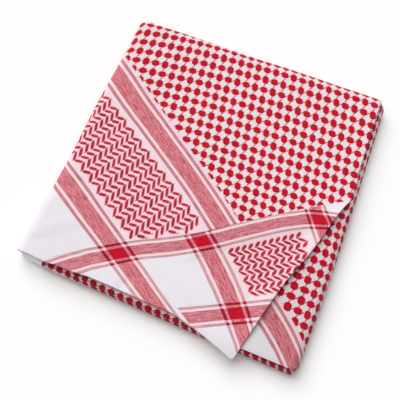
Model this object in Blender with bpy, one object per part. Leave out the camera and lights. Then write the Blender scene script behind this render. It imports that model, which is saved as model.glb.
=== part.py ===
"""Folded keffiyeh headscarf, lying flat.

One square of thin cotton, folded down to a packet about a third of a metre
square.  Every stretch of cloth that shows is its own closed wall:

  fold_core     the hidden plies, one rounded solid with layered edges
  front_wrap    the ply that runs along the underside, round the front roll and
                back over the top of the hidden plies
  under_layer   the ply over that one: right-hand side roll and front edge
  top_layer     the uppermost ply, rolled over the left and the back
  corner_flap   the corner of the top ply, pleated over itself and lying loose
                with its tip hanging over the front roll

All plies are wrapped about one level centre plane, so each is a parallel
surface of the one below and the gaps between them stay even.
+X is to the right, +Y to the back, +Z up; the underside lies on Z = 0.
"""

import math

import bmesh
import bpy
from mathutils import Vector

MM = 0.001

# ---------------------------------------------------------------- sizes, mm
GAP = 0.3                       # clear space between neighbouring plies
CENTRE_Z = 9.2                  # height of the plane that the plies wrap about

# the flat part of the packet, inside the rolled sides
FLAT_LEFT, FLAT_RIGHT = -153.0, 158.5
FLAT_FRONT, FLAT_BACK = -166.5, 163.5

WRAP_R, WRAP_T = 9.2, 1.2       # outer radius and wall of each ply
UNDER_R, UNDER_T = 11.5, 2.0
TOP_R, TOP_T = 14.0, 2.2
FLAP_T = 1.6

SKIRT = math.radians(86)        # how far a side roll is carried round
TOP_FRONT = -167.2              # front edge of the top ply
TOP_RIGHT = 162.5               # its right-hand edge, a little inside the side
UNDER_FRONT_ARC = 5.2           # how far the under ply runs over the front roll
UNDER_RECESS = -157.0           # its front edge under the flap and to the left
UNDER_RECESS_X = (8.0, 44.0)    # where that edge steps forward

# the pleat: the seam between top ply and flap, then the flap's folded edge
PLEAT = [  # x, y
    (-128.0, -167.2),
    (-88.5, -138.8),
    (-56.0, -118.0),
    (-17.7, -96.3),
    (20.4, -72.8),
    (54.8, -47.3),
    (92.9, -20.1),
    (131.9, 6.3),
    (164.0, 26.3),
]
PLEAT_OPENS = (6.0, 24.0)       # x where the flap lifts off the top ply
PLEAT_DEPTH = 15.0              # how far the top ply runs on beneath the flap
FLAP_TIP = (102.0, -189.6)      # the loose corner
FLAP_TURN = (24.0, -167.2)      # where its front edge leaves the packet's edge
FLAP_DROOP_R = 46.0             # radius of the bend where the tip hangs over
FLAP_START = (-125.5, -124.3, -122.0)  # the first lines across the pleat's outer end
TIP_ROUND = 7.0                 # how far back the tip's corner is rounded
FREE_LIFT = 3.2                 # how far the free edge stands up off the ply below
FREE_EDGE = [  # the free edge bows in: part of the way from tip to pleat, x
    (0.0, 0.0),
    (0.08, -1.6),
    (0.3, -5.2),
    (0.4, -6.4),
    (0.5, -5.8),
    (0.62, -4.0),
    (0.72, -3.7),
    (0.86, -4.7),
    (1.0, -2.0),
]
TOP_HANG = [  # how much further the top cloth runs over the front: x, length
    (-176.0, 4.6),
    (-160.0, 3.8),
    (-146.0, 3.6),
    (-134.0, 4.2),
    (-119.0, 2.6),
    (-98.0, 2.0),
    (-74.0, 0.0),
]

# where the middle of the finished outline lies, tip and side rolls included;
# the plies are laid out about the flat packet, then set over the origin
MIDDLE_X, MIDDLE_Y = 0.19, -5.16

# how the packet's outline drifts from a true rectangle
RIGHT_OUT = 0.8                 # the right side stands out by this
RIGHT_TUCK = 5.0                # and draws in by this towards the front
RIGHT_TUCK_Y = (12.0, -176.0)   # from the first y to the second
LEFT_DRAW = [  # how far the left side stands in (+) or out (-): y, x
    (-172.0, 0.2),
    (-110.0, 1.1),
    (-50.0, 2.1),
    (0.0, -0.4),
    (60.0, -1.9),
    (168.0, -3.5),
]
LEFT_ROWS = [y for y, _ in LEFT_DRAW[1:-1]]  # every ply has a grid line at these
FRONT_BACKED = 1.2              # the front sits back by this at the left
FRONT_FORWARD = 1.2             # and comes forward by this at the right
FRONT_SKEW_X = (-70.0, 95.0)

# edge of the hidden plies: height, reach past the flat part, per unit of the
# side's own radius; three lips below, then a shoulder under the side rolls
CORE_EDGE = [  # z, under the side radius by
    (1.5, 3.4),
    (1.9, 1.5),
    (2.7, 0.7),
    (3.5, 1.5),
    (3.9, 2.3),
    (4.3, 1.6),
    (5.1, 1.0),
    (5.9, 1.7),
    (6.3, 2.5),
    (6.7, 1.7),
    (7.5, 0.9),
    (8.4, 1.7),
    (8.9, 2.9),
]
CORE_SHOULDER = [  # z, reach
    (9.4, 8.6),
    (12.0, 8.6),
    (14.0, 7.6),
    (15.6, 6.0),
    (16.5, 4.2),
    (16.9, 2.0),
]
CORE_FRONT_R = WRAP_R - WRAP_T - GAP


# ---------------------------------------------------------------- helpers
def table(rows, at):
    """Reading between the rows of a two-column table."""
    if at <= rows[0][0]:
        return rows[0][1]
    for (a, fa), (b, fb) in zip(rows, rows[1:]):
        if at <= b:
            k = (at - a) / (b - a)
            return fa + (fb - fa) * k
    return rows[-1][1]


def ease(at, a, b):
    k = min(1.0, max(0.0, (at - a) / (b - a)))
    return k * k * (3 - 2 * k)


def drift(p):
    """Moves a point of the true rectangle to the packet's own outline and place."""
    x, y, z = p
    right = max(0.0, (RIGHT_TUCK_Y[0] - y) / (RIGHT_TUCK_Y[0] - RIGHT_TUCK_Y[1]))
    dx = (RIGHT_OUT - RIGHT_TUCK * right**2) * ease(x, -20, 150)
    dx += table(LEFT_DRAW, y) * ease(-x, -20, 140)
    dy = FRONT_BACKED - (FRONT_BACKED + FRONT_FORWARD) * ease(x, *FRONT_SKEW_X)
    dy *= ease(-y, 40, 160)
    return Vector((x + dx - MIDDLE_X, y + dy - MIDDLE_Y, z))


def stations(*spans):
    """Grid lines: (start, end, number of steps) spans laid end to end."""
    out = [spans[0][0]]
    for a, b, n in spans:
        out += [a + (b - a) * (i + 1) / n for i in range(n)]
    return out


def rolled(x, y, radius, left=False, right=False, front=False, back=False):
    """Point and normal of a ply wrapped about the centre plane.

    x and y are measured along the cloth; past the flat part it bends down
    round the chosen sides, radially at a corner where two of them meet.
    """
    cx = min(max(x, FLAT_LEFT if left else -1e9), FLAT_RIGHT if right else 1e9)
    cy = min(max(y, FLAT_FRONT if front else -1e9), FLAT_BACK if back else 1e9)
    out = Vector((x - cx, y - cy, 0))
    d = out.length
    if d < 1e-9:
        return Vector((x, y, CENTRE_Z + radius)), Vector((0, 0, 1))
    out /= d
    a = d / radius
    n = out * math.sin(a) + Vector((0, 0, math.cos(a)))
    return Vector((cx, cy, CENTRE_Z)) + n * radius, n


def round_corner(x, y, corner, reach):
    """Pulls a square grid corner in to a quarter ellipse."""
    a, b = (x - corner[0]) / reach[0], (y - corner[1]) / reach[1]
    if a <= 0 or b <= 0:
        return x, y
    k = max(a, b) / math.hypot(a, b)
    return corner[0] + (x - corner[0]) * k, corner[1] + (y - corner[1]) * k


def add_object(name, bm, colour, roughness, collection):
    mesh = bpy.data.meshes.new(name)
    bm.to_mesh(mesh)
    bm.free()
    obj = bpy.data.objects.new(name, mesh)
    collection.objects.link(obj)
    mat = bpy.data.materials.new(name)
    mat.use_nodes = True
    shader = mat.node_tree.nodes["Principled BSDF"]
    shader.inputs["Base Color"].default_value = (*colour, 1)
    shader.inputs["Roughness"].default_value = roughness
    shader.inputs["Metallic"].default_value = 0.0
    mat.diffuse_color = (*colour, 1)
    mesh.materials.append(mat)
    mesh.shade_smooth()
    mesh.set_sharp_from_angle(angle=math.radians(40))
    return obj


def wall(us, vs, place, thickness):
    """A closed wall of cloth on a grid of (u, v) lines.

    place(u, v) gives the point on the outer face and its normal.  The wall's
    edge is drawn in to its mid-line, so every rim is rounded.
    """
    bm = bmesh.new()
    nu, nv = len(us), len(vs)
    outer, inner = {}, {}
    for i, u in enumerate(us):
        for j, v in enumerate(vs):
            p, n = place(u, v)
            if i in (0, nu - 1) or j in (0, nv - 1):
                at = bm.verts.new(drift(p - n * (thickness / 2)) * MM)
                outer[i, j] = inner[i, j] = at
            else:
                outer[i, j] = bm.verts.new(drift(p) * MM)
                inner[i, j] = bm.verts.new(drift(p - n * thickness) * MM)
    for i in range(nu - 1):
        for j in range(nv - 1):
            ring = [(i, j), (i + 1, j), (i + 1, j + 1), (i, j + 1)]
            bm.faces.new([outer[k] for k in ring])
            bm.faces.new([inner[k] for k in reversed(ring)])
    return bm


# ---------------------------------------------------------------- the plies
def fold_core():
    """Hidden plies: rings about the flat part, lips at the sides, round in front."""
    corners = [
        (FLAT_RIGHT, FLAT_FRONT, -90),
        (FLAT_RIGHT, FLAT_BACK, 0),
        (FLAT_LEFT, FLAT_BACK, 90),
        (FLAT_LEFT, FLAT_FRONT, 180),
    ]
    stand = []  # base point, direction
    turn, along = 6, 9
    for k, (x, y, start) in enumerate(corners):
        for i in range(turn + 1):
            a = math.radians(start + 90 * i / turn)
            stand.append((x, y, math.cos(a), math.sin(a)))
        nx, ny, _ = corners[(k + 1) % 4]
        a = math.radians(start + 90)
        steps = [i / along for i in range(1, along)]
        if k == 2:
            steps = [(y - row) / (y - ny) for row in [112.0] + LEFT_ROWS[::-1] + [-140.0]]
        for f in steps:
            stand.append((x + (nx - x) * f, y + (ny - y) * f, math.cos(a), math.sin(a)))

    def reach(z, nx, ny):
        front = ease(-ny, 0.15, 0.95)
        side = UNDER_R + (TOP_R - UNDER_R) * max(ease(-nx, 0.1, 0.9), ease(ny, 0.1, 0.9))
        if z <= CORE_EDGE[-1][0]:
            edge = side - table(CORE_EDGE, z)
        else:
            edge = table(CORE_SHOULDER, z)
        tube = math.sqrt(max(CORE_FRONT_R**2 - (z - CENTRE_Z) ** 2, 0.01))
        out = edge + (tube - edge) * front
        if ny < -0.01:
            out = min(out, tube / -ny)
        return out - 5.0 * nx * ny if nx < 0 and ny < 0 else out

    bm = bmesh.new()
    rings = []
    for z, _ in CORE_EDGE + CORE_SHOULDER:
        rings.append(
            [
                bm.verts.new(drift(Vector((x + nx * reach(z, nx, ny), y + ny * reach(z, nx, ny), z))) * MM)
                for x, y, nx, ny in stand
            ]
        )
    n = len(stand)
    for low, high in zip(rings, rings[1:]):
        for i in range(n):
            k = (i + 1) % n
            bm.faces.new([low[i], low[k], high[k], high[i]])
    bm.faces.new(list(reversed(rings[0])))
    bm.faces.new(rings[-1])
    return bm


def front_wrap():
    """Underside, front roll and upper return of one ply, as a bent strip."""
    half = math.pi * WRAP_R
    bottom, top = FLAT_BACK + 10.0, FLAT_BACK - 6.0
    low = bottom - FLAT_FRONT  # length along the underside

    left = [  # along the strip, x
        (0.0, -163.5),
        (low - 14, -163.5),
        (low, -158.6),
        (low + 0.35 * half, -154.2),
        (low + 0.5 * half, -153.4),
        (low + 0.69 * half, -156.4),
        (low + 0.84 * half, -158.8),
        (low + half + 2, -159.2),
        (low + half + 12, -152.8),
    ]
    right = [
        (0.0, 167.0),
        (low - 17, 167.0),
        (low - 4, 164.6),
        (low + 0.6 * half, 164.6),
        (low + 0.85 * half, 160.6),
        (low + half + 2, 158.2),
    ]

    def place(u, v):
        x = table(left, v) * (1 - u) + table(right, v) * u
        if v < low:
            return Vector((x, bottom - v, CENTRE_Z - WRAP_R)), Vector((0, 0, -1))
        if v < low + half:
            a = (v - low) / WRAP_R
            n = Vector((0, -math.sin(a), -math.cos(a)))
            return Vector((x, FLAT_FRONT, CENTRE_Z)) + n * WRAP_R, n
        return Vector((x, FLAT_FRONT + v - low - half, CENTRE_Z + WRAP_R)), Vector((0, 0, 1))

    e = WRAP_T / 2
    end = low + half + top - FLAT_FRONT
    us = stations((0.0, e / 320, 1), (e / 320, 1 - e / 320, 14), (1 - e / 320, 1.0, 1))
    vs = stations(
        (0.0, e, 1),
        (e, low - 20, 5),
        (low - 20, low, 3),
        (low, low + half, 12),
        (low + half, low + half + 12, 3),
        (low + half + 12, end - e, 4),
        (end - e, end, 1),
    )
    return wall(us, vs, place, WRAP_T)


def under_layer():
    """Second ply: rolled over all sides, its front edge stepped back at left."""
    skirt = UNDER_R * SKIRT
    x0, x1 = FLAT_LEFT - skirt, FLAT_RIGHT + skirt
    y1 = FLAT_BACK + skirt

    def place(u, v):
        x, y = u, v
        if v < FLAT_FRONT:  # the part that runs on over the front roll
            y = FLAT_FRONT - (FLAT_FRONT - v)
        edge = UNDER_RECESS + (FLAT_FRONT - UNDER_FRONT_ARC - UNDER_RECESS) * ease(x, *UNDER_RECESS_X)
        near = FLAT_FRONT - UNDER_FRONT_ARC
        # rows close to the front follow the stepped edge
        y = v + (edge - near) * ease(-v, 110, -near)
        x, y = round_corner(x, y, (FLAT_RIGHT, FLAT_BACK), (skirt, skirt))
        x, y = round_corner(-x, y, (-FLAT_LEFT, FLAT_BACK), (skirt, skirt))
        x = -x
        if u > FLAT_RIGHT - 5:
            x, y = round_corner(x, -y, (FLAT_RIGHT - 5, -FLAT_FRONT - 5), (skirt + 5, UNDER_FRONT_ARC + 5))
            y = -y
        return rolled(x, y, UNDER_R, left=True, right=True, front=True, back=True)

    e = UNDER_T / 2
    near = FLAT_FRONT - UNDER_FRONT_ARC
    us = stations(
        (x0, x0 + e, 1), (x0 + e, FLAT_LEFT, 5), (FLAT_LEFT, 8, 4), (8, 44, 4),
        (44, FLAT_RIGHT - 5, 4), (FLAT_RIGHT - 5, FLAT_RIGHT, 1), (FLAT_RIGHT, x1 - e, 7), (x1 - e, x1, 1),
    )
    vs = stations(
        (near, near + e, 1), (near + e, FLAT_FRONT, 3), (FLAT_FRONT, FLAT_FRONT + 5, 2), (FLAT_FRONT + 5, -110, 3),
        *[(a, b, 1) for a, b in zip(LEFT_ROWS, LEFT_ROWS[1:])], (LEFT_ROWS[-1], FLAT_BACK, 2),
        (FLAT_BACK, y1 - e, 5), (y1 - e, y1, 1),
    )
    return wall(us, vs, place, UNDER_T)


def pleat_y(x):
    return table(PLEAT, x)


def pleat_hang(x):
    """The part of the overhang that the pleat's outer end shares."""
    return table(TOP_HANG, x) * ease(-x, 122, 128)


def top_layer():
    """Uppermost ply: rolled over the left and the back, cut along the pleat."""
    skirt = TOP_R * SKIRT
    x0, y1 = FLAT_LEFT - skirt, FLAT_BACK + skirt

    def low_edge(x):
        if x <= PLEAT[0][0]:
            return TOP_FRONT - table(TOP_HANG, x)
        deep = PLEAT_DEPTH * ease(x, PLEAT_OPENS[1], PLEAT_OPENS[1] + 34) * (1 - 0.85 * ease(x, 116, 156))
        return pleat_y(min(x, PLEAT[-1][0])) + GAP * 0.6 - deep * 1.2 - pleat_hang(x)

    def place(u, v):
        # v runs 0..1 up the flat part, then on in millimetres over the back
        x = u
        y = low_edge(x) + (FLAT_BACK - low_edge(x)) * v if v <= 1 else FLAT_BACK + (v - 1)
        x, y = round_corner(-x, y, (-FLAT_LEFT, FLAT_BACK), (skirt, skirt))
        x, y = round_corner(-x, y, (TOP_RIGHT - 12, FLAT_BACK + 1), (12, skirt - 1))
        return rolled(x, y, TOP_R, left=True, front=True, back=True)

    e = TOP_T / 2
    us = stations((x0, x0 + e, 1), (x0 + e, FLAT_LEFT, 6), (FLAT_LEFT, PLEAT[0][0], 2))
    us += list(FLAP_START)
    us += stations(
        (FLAP_START[-1] + 12, 20.4, 8), (20.4, 62, 5), (62, TOP_RIGHT - 12, 4), (TOP_RIGHT - 12, TOP_RIGHT - e, 3),
        (TOP_RIGHT - e, TOP_RIGHT, 1),
    )
    low = low_edge(-145.0)
    rows = [0.02] + [(y - low) / (FLAT_BACK - low) for y in LEFT_ROWS]
    vs = stations(
        (0.0, 0.004, 1), (0.004, 0.02, 2), *[(a, b, 1) for a, b in zip(rows, rows[1:])], (rows[-1], 1.0, 3),
        (1.0, 1 + skirt - e, 7), (1 + skirt - e, 1 + skirt, 1),
    )
    return wall(us, vs, place, TOP_T)


def corner_flap():
    """Loose corner: a fan from the pleat's start out to the straight free edge."""
    first = FLAP_START[0]
    tip, turn = Vector((*FLAP_TIP, 0)), Vector((*FLAP_TURN, 0))
    start = Vector((first, TOP_FRONT, 0))
    front = (turn - start).length
    hang = (tip - turn).length
    reach, rise = front + hang, (Vector((*PLEAT[-1], 0)) - tip).length

    def upper(s):
        x = first + (PLEAT[-1][0] - first) * s
        return Vector((x, pleat_y(x) - GAP * 0.6 - pleat_hang(x), 0))

    def lower(s):
        d = s * (front + hang)
        if d < front:
            p = start + (turn - start) * (d / front)
            return p - Vector((0, table(TOP_HANG, p.x), 0))
        k = (d - front) / hang
        bend = (tip - turn).cross(Vector((0, 0, 1))).normalized() * -2.2 * math.sin(math.pi * k)
        return turn + (tip - turn) * k + bend

    def laid(u, v):
        p = lower(u) + (upper(u) - lower(u)) * v
        p.x += table(FREE_EDGE, v) * ease(u, 0.45, 1.0)
        return p

    def place(u, v):
        # the tip's corner is drawn in to a curve
        a, b = TIP_ROUND - (1 - u) * reach, TIP_ROUND - v * rise
        if a > 0 and b > 0:
            k = max(a, b) / math.hypot(a, b)
            u, v = 1 - (TIP_ROUND - a * k) / reach, (TIP_ROUND - b * k) / rise
        p = laid(u, v)
        away = (upper(u) - p).length
        lift = (GAP + FLAP_T) * ease(p.x, *PLEAT_OPENS) * (1 - ease(away, 26, 52))
        loose = (laid(1.0, v) - p).length
        lift += FREE_LIFT * (1 - ease(loose, 0, 26)) * ease(v, 0.04, 0.25) * (1 - ease(v, 0.84, 1.0))
        z = CENTRE_Z + TOP_R + lift
        n = Vector((0, 0, 1))
        past = FLAT_FRONT - p.y
        if past > 0:
            radius = TOP_R + (FLAP_DROOP_R - TOP_R) * ease(p.x, -122, -90)
            a = past / radius
            p = Vector((p.x, FLAT_FRONT - radius * math.sin(a), 0))
            z -= radius * (1 - math.cos(a))
            n = Vector((0, -math.sin(a), math.cos(a)))
        return Vector((p.x, p.y, z)), n

    us = [(x - first) / (PLEAT[-1][0] - first) for x in FLAP_START]
    us += stations((0.05, 0.16, 3), (0.16, 0.38, 3), (0.38, 0.6, 6), (0.6, 0.97, 10), (0.97, 0.994, 2), (0.994, 1.0, 1))
    vs = stations((0.0, 0.006, 1), (0.006, 0.031, 3), (0.031, 0.3, 4), (0.3, 0.99, 9), (0.99, 1.0, 1))
    return wall(us, vs, place, FLAP_T)


def main():
    for obj in list(bpy.data.objects):
        bpy.data.objects.remove(obj, do_unlink=True)
    scarf = bpy.data.collections.new("keffiyeh_headscarf")
    bpy.context.scene.collection.children.link(scarf)

    red_check, white, pink = (0.78, 0.36, 0.42), (0.84, 0.82, 0.84), (0.74, 0.30, 0.36)
    add_object("fold_core", fold_core(), red_check, 0.9, scarf)
    add_object("front_wrap", front_wrap(), red_check, 0.9, scarf)
    add_object("under_layer", under_layer(), red_check, 0.88, scarf)
    add_object("top_layer", top_layer(), pink, 0.88, scarf)
    add_object("corner_flap", corner_flap(), white, 0.88, scarf)


main()
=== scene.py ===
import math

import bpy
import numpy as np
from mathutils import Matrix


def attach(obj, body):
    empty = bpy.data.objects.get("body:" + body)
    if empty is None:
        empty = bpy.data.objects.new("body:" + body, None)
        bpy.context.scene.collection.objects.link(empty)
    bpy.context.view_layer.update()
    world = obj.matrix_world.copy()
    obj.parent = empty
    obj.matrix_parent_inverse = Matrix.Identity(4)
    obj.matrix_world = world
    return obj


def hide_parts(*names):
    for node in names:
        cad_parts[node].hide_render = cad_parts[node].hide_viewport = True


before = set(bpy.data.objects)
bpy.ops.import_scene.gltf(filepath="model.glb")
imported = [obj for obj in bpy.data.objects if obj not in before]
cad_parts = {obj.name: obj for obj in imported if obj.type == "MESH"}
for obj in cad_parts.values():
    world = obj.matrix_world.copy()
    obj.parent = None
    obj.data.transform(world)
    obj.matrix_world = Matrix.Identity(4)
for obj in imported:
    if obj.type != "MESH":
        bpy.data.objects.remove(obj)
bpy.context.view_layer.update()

# A keffiyeh headscarf: one square of cotton folded to a flat packet, lying on
# a table.  Lengths below are in millimetres unless a name says otherwise; x is
# to the right, y to the back, z up, measured in the flat packet before it is
# set over the origin.

MM = 0.001

# ------------------------------------------------------------ packet sizes
GAP = 0.3
CENTRE_Z = 9.2
FLAT_LEFT, FLAT_RIGHT = -153.0, 158.5
FLAT_FRONT, FLAT_BACK = -166.5, 163.5
WRAP_R, WRAP_T = 9.2, 1.2
UNDER_R, UNDER_T = 11.5, 2.0
TOP_R, TOP_T = 14.0, 2.2
FLAP_T = 1.6
SKIRT = math.radians(86)
TOP_FRONT, TOP_RIGHT = -167.2, 162.5
UNDER_FRONT_ARC = 5.2
UNDER_RECESS, UNDER_RECESS_X = -157.0, (8.0, 44.0)
PLEAT = [
    (-128.0, -167.2), (-88.5, -138.8), (-56.0, -118.0), (-17.7, -96.3), (20.4, -72.8),
    (54.8, -47.3), (92.9, -20.1), (131.9, 6.3), (164.0, 26.3),
]
PLEAT_OPENS = (6.0, 24.0)
PLEAT_DEPTH = 15.0
FLAP_TIP, FLAP_TURN = (102.8, -187.0), (24.0, -167.2)
FLAP_DROOP_R = 46.0
MIDDLE = np.array([0.19, -5.16, 0.0])
CORE_FRONT_R = WRAP_R - WRAP_T - GAP


# ------------------------------------------------------------ small tools
def ease(at, a, b):
    k = np.clip((np.asarray(at, float) - a) / (b - a), 0.0, 1.0)
    return k * k * (3 - 2 * k)


def bump_at(at, centre, half):
    """1 at the centre, 0 beyond half, with a soft top and soft feet."""
    k = np.clip(np.abs(np.asarray(at, float) - centre) / half, 0.0, 1.0)
    return (1 - k * k) ** 2


class Curve:
    """Smooth line through (t, value) points, straight beyond both ends."""

    def __init__(self, rows, monotone=False):
        rows = np.array(sorted(rows), float)
        self.t, self.f = rows[:, 0], rows[:, 1]
        w = np.diff(self.t)
        d = np.diff(self.f) / w
        mid = (w[1:] * d[:-1] + w[:-1] * d[1:]) / (w[1:] + w[:-1])
        if monotone:
            same = d[:-1] * d[1:] > 0
            safe = np.where(same, d[:-1] + d[1:], 1.0)
            mid = np.where(same, 2 * d[:-1] * d[1:] / safe, 0.0)
        self.m = np.concatenate([[d[0]], mid, [d[-1]]])

    def __call__(self, at, slope=False):
        at = np.asarray(at, float)
        t = np.clip(at, self.t[0], self.t[-1])
        k = np.clip(np.searchsorted(self.t, t) - 1, 0, len(self.t) - 2)
        w = self.t[k + 1] - self.t[k]
        s = (t - self.t[k]) / w
        f0, f1, m0, m1 = self.f[k], self.f[k + 1], self.m[k] * w, self.m[k + 1] * w
        val = (f0 * (1 + 2 * s) * (1 - s) ** 2 + m0 * s * (1 - s) ** 2
               + f1 * s * s * (3 - 2 * s) - m1 * s * s * (1 - s))
        der = (6 * s * (s - 1) * (f0 - f1) + m0 * (1 - s) * (1 - 3 * s) + m1 * s * (3 * s - 2)) / w
        val = val + der * (at - t)
        return (val, der) if slope else val


def value_noise(x, y, seed):
    """Smooth deterministic noise, about -1..1, one cell per unit."""
    rng = np.random.default_rng(seed)
    grid = rng.uniform(-1, 1, (64, 64))
    x0, y0 = np.floor(x).astype(int), np.floor(y).astype(int)
    fx, fy = x - x0, y - y0
    fx, fy = fx * fx * (3 - 2 * fx), fy * fy * (3 - 2 * fy)
    g = lambda a, b: grid[(x0 + a) % 64, (y0 + b) % 64]
    return ((g(0, 0) * (1 - fx) + g(1, 0) * fx) * (1 - fy)
            + (g(0, 1) * (1 - fx) + g(1, 1) * fx) * fy)


# how far the left side stands in (+) or out (-): y, x
LEFT_DRAW = Curve([(-172, 0.2), (-144, 0.7), (-100, 1.2), (-70, 1.8), (-45, 2.1), (-20, 0.8), (0, -0.3),
                   (45, -1.8), (100, -2.0), (130, -2.4), (168, -3.5)])


def drift(p):
    """The packet's own outline: sides that draw in, a front that runs askew."""
    x, y = p[..., 0], p[..., 1]
    right = np.maximum(0.0, (12.0 - y) / 188.0)
    dx = (0.8 - 5.0 * right**2) * ease(x, -20, 150) + LEFT_DRAW(y) * ease(-x, -20, 140)
    dy = (1.2 - 2.4 * ease(x, -70, 95)) * ease(-y, 40, 160)
    return np.stack([dx, dy, np.zeros_like(dx)], -1)


# soft troughs and ridges: ends, height, half-width
CREASES = [
    ((-168, -96), (-118, -62), -0.75, 9.0),
    ((-150, -128), (-92, -104), 0.55, 12.0),
    ((-164, -150), (-128, -124), 0.6, 11.0),
    ((-172, 18), (-128, 40), -0.45, 10.0),
    ((-60, 168), (-38, 118), -0.5, 11.0),
    ((36, 170), (28, 126), 0.5, 12.0),
    ((118, 166), (128, 120), -0.55, 10.0),
    ((176, 66), (140, 48), -0.5, 9.0),
    ((-40, -172), (-26, -140), -0.7, 9.0),
    ((-96, -170), (-84, -150), 0.5, 8.0),
    ((10, -172), (2, -146), 0.45, 8.0),
    ((-20, 60), (62, 22), 0.35, 20.0),
    ((20, 96), (112, 78), -0.35, 24.0),
    ((-112, 96), (-52, 60), -0.3, 22.0),
]


def settle(p):
    """One shared sag of all plies, so that none of them runs into the next."""
    x, y, z = p[..., 0], p[..., 1], p[..., 2]
    h = 0.45 * value_noise(x / 74 + 9.3, y / 61 + 4.1, 11)
    h += 0.22 * value_noise(x / 31 + 2.7, y / 37 + 8.8, 12)
    for (ax, ay), (bx, by), high, wide in CREASES:
        dx, dy = bx - ax, by - ay
        size = math.hypot(dx, dy)
        s = ((x - ax) * dx + (y - ay) * dy) / size**2
        t = ((x - ax) * -dy + (y - ay) * dx) / size
        t = t + 1.6 * np.sin(s * 3.1 + ax)
        h += high * bump_at(t, 0, wide) * bump_at(s, 0.42, 0.75)
    weight = np.clip(z, 0, 30) / 18.0
    side = 0.5 * value_noise(x / 40 + 3.3, y / 45 + 6.1, 13) * ease(np.hypot(x / 165, y / 172), 0.85, 1.0)
    out = p.copy()
    out[..., 2] = z + h * weight
    out[..., 0] += side * 0.7 * weight * np.sign(x)
    out[..., 1] += side * 0.6 * weight * np.sign(y)
    return out


# how much further the top cloth reaches over the front at its left end: x, length
TOP_HANG = Curve([(-176, 4.6), (-160, 3.8), (-146, 3.6), (-134, 4.2), (-127, 3.6), (-119, 2.6), (-110, 2.1),
                  (-98, 2.0), (-86, 1.0), (-74, 0.0), (60, 0.0)], monotone=True)


def rolled(x, y, radius, left=False, right=False, front=False, back=False):
    """Point and normal of a ply wrapped about the centre plane."""
    big = 1e9
    cx = np.clip(x, FLAT_LEFT if left else -big, FLAT_RIGHT if right else big)
    cy = np.clip(y, FLAT_FRONT if front else -big, FLAT_BACK if back else big)
    ox, oy = x - cx, y - cy
    d = np.hypot(ox, oy)
    safe = np.maximum(d, 1e-9)
    a = d / radius
    n = np.stack([ox / safe * np.sin(a), oy / safe * np.sin(a), np.cos(a)], -1)
    base = np.stack([cx, cy, np.full_like(cx, CENTRE_Z)], -1)
    return base + n * radius, n


def round_corner(x, y, corner, reach):
    a, b = (x - corner[0]) / reach[0], (y - corner[1]) / reach[1]
    both = (a > 0) & (b > 0)
    k = np.where(both, np.maximum(a, b) / np.maximum(np.hypot(a, b), 1e-9), 1.0)
    return np.where(both, corner[0] + (x - corner[0]) * k, x), np.where(both, corner[1] + (y - corner[1]) * k, y)


def lines(*spans):
    """Grid lines: (start, end, step) spans laid end to end."""
    out = [spans[0][0]]
    for a, b, step in spans:
        n = max(1, int(round(abs(b - a) / step)))
        out += [a + (b - a) * (i + 1) / n for i in range(n)]
    return np.array(out, float)


# ------------------------------------------------------------ the woven design
class Band:
    """A woven stripe: signed distance from its middle over its half-width."""

    def __init__(self, rows):
        p = np.array([r[:2] for r in rows], float)
        self.c = p.mean(0)
        _, _, vt = np.linalg.svd(p - self.c)
        self.d = vt[0] * (1 if vt[0][0] > 0 else -1)
        self.n = np.array([-self.d[1], self.d[0]])
        s, t = (p - self.c) @ self.d, (p - self.c) @ self.n
        self.mid = Curve(list(zip(s, t)))
        self.half = Curve([(a, r[2]) for a, r in zip(s, rows)])
        self.span = (s.min(), s.max())

    def __call__(self, x, y):
        s = (x - self.c[0]) * self.d[0] + (y - self.c[1]) * self.d[1]
        t = (x - self.c[0]) * self.n[0] + (y - self.c[1]) * self.n[1]
        mid, slope = self.mid(s, slope=True)
        half = self.half(np.clip(s, *self.span))
        return (t - mid) / np.sqrt(1 + slope**2) / half


BAND_A = Band([(-145, 69, 10.09), (-118.8, 50.4, 9.67), (-89.2, 31, 9.31), (-59.8, 11.4, 9.05),
               (-32.3, -6.8, 8.84), (-5.9, -24.8, 8.63), (16.4, -41.2, 8.69), (32.5, -53.4, 8.61)])
BAND_2 = Band([(-127.5, -89, 9.05), (-103.5, -103.1, 8.54), (-79.9, -116.6, 8.15), (-38.2, -140.9, 7.62),
               (-21.8, -150.5, 7.45), (-4.1, -160.9, 6.95)])
BAND_C = Band([(-117, -177.3, 6.9), (-110, -170.8, 6.85), (-104.2, -165.8, 6.8), (-98, -160.4, 6.75),
               (-91.2, -155.2, 6.7), (-84.5, -149.3, 6.65), (-72.7, -141.3, 6.5), (-31.1, -114.6, 5.92),
               (-16.5, -107, 5.92),
               (3.1, -95.9, 5.94), (42.4, -69.5, 6.03), (59.1, -56.7, 6.04), (77.9, -43, 5.99),
               (97, -29.5, 5.94), (111.6, -20.8, 5.93), (125.8, -13.3, 6.03), (136.1, -9.9, 6.03),
               (145, -7.3, 5.8), (152.1, -6, 5.7)])
BAND_AP = Band([(21.4, -81.3, 7.98), (42.2, -97.9, 8.15), (53.7, -108.5, 8.35), (64.9, -118.9, 8.2),
                (72.8, -127.1, 8.14), (86.2, -141.8, 7.7), (102.9, -162.4, 6.82)])
BAND_D = Band([(24.6, -173.8, 6.08), (42.9, -164.2, 6.0), (57.3, -156.6, 5.92), (75.5, -147.2, 6.05), (94.6, -137.4, 6.2)])
BAND_E = Band([(124.9, 5.5, 6.9), (131.6, -4.4, 6.9), (142.4, -18.9, 7.18), (150.7, -31.4, 7.18)])
BAND_U = Band([(118.1, -129.6, 8.64), (127.5, -136.6, 8.24), (136.5, -143.9, 8.15), (146.3, -152.8, 7.8),
               (153.6, -160.3, 7.65)])
FAR = 9.0


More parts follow.
